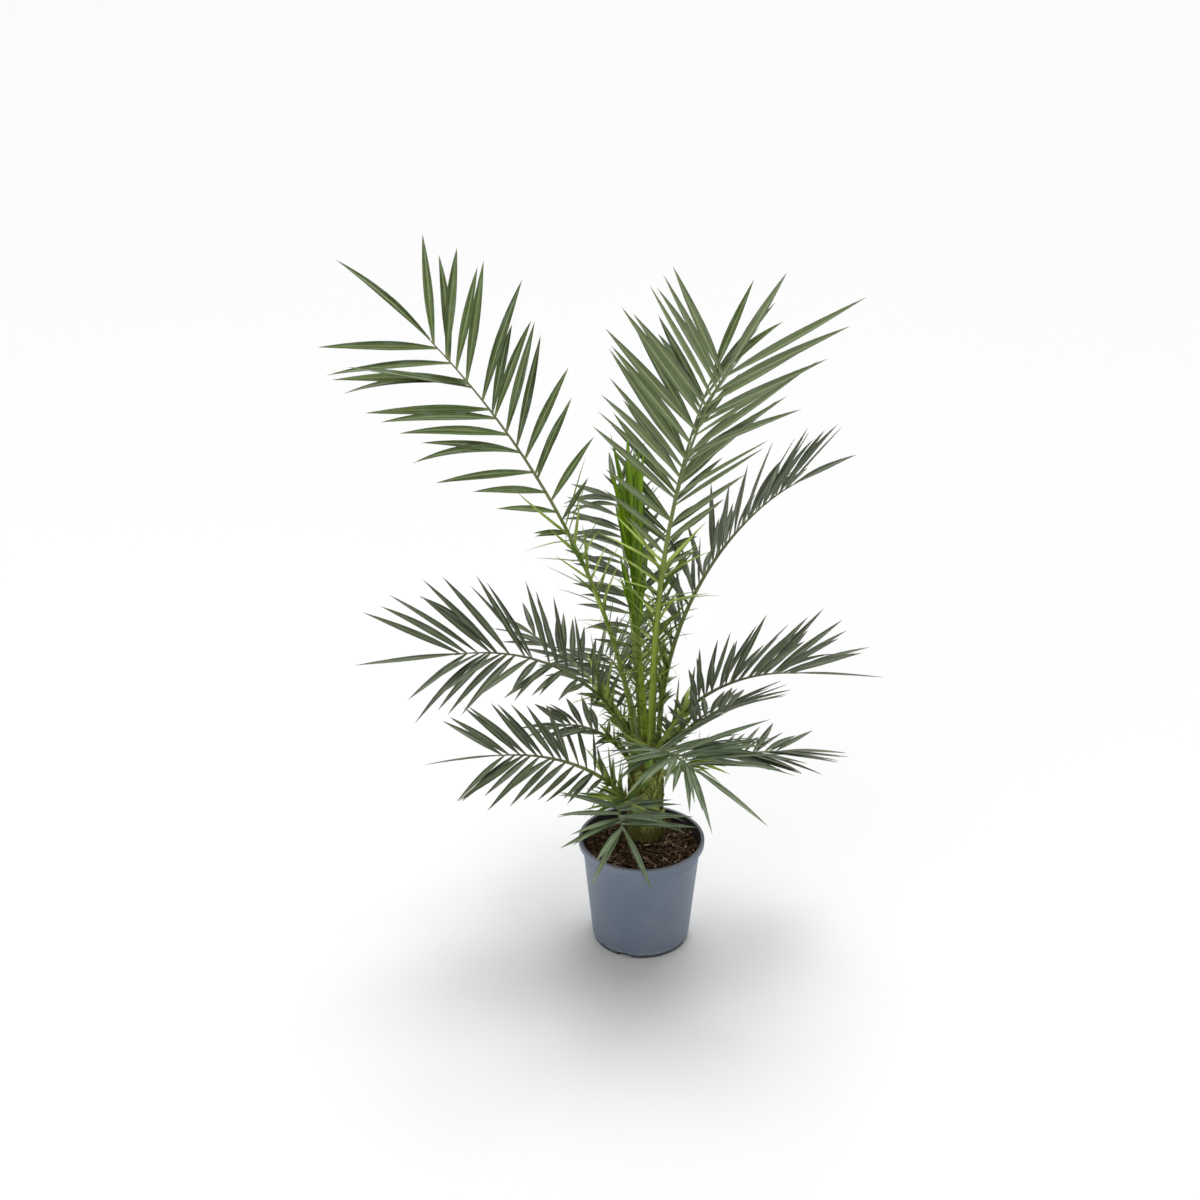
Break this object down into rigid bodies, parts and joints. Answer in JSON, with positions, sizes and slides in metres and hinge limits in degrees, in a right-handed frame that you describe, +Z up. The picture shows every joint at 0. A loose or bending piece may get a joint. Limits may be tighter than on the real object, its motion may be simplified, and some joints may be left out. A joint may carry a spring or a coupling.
{
  "type": "potted canary island date palm",
  "caption": "Young feather palm in a tapered grey nursery pot of soil, with a short fibrous trunk, arching fronds of narrow folded leaflets and an upright unopened spear leaf.",
  "frame": {"origin": "centre of the pot's flat underside", "axes": "+Z up along the pot's axis; the picture looks along +Y, with +X to its right"},
  "size_m": [0.999, 0.9125, 1.3769],
  "materials": {
    "pot_plastic": "satin",
    "potting_soil": "matte",
    "trunk_fibre": "matte",
    "spear_leaf": "satin",
    "young_frond": "satin",
    "old_frond": "satin"
  },
  "bodies": {
    "root": {"pot": "pot_plastic", "soil": "potting_soil", "trunk": "trunk_fibre", "frond_high_left": "young_frond", "frond_high_right": "young_frond", "frond_high_back": "young_frond", "spear": "spear_leaf", "frond_upper_right": "old_frond", "frond_upper_back": "old_frond", "frond_middle_left": "old_frond", "frond_back_left": "old_frond", "frond_middle_right": "old_frond", "frond_front_right": "old_frond", "frond_front_low_right": "old_frond", "frond_inner_left": "old_frond", "frond_low_back": "old_frond", "frond_low_right": "old_frond", "frond_low_left": "old_frond", "frond_low_front": "old_frond"}
  },
  "joints": []
}
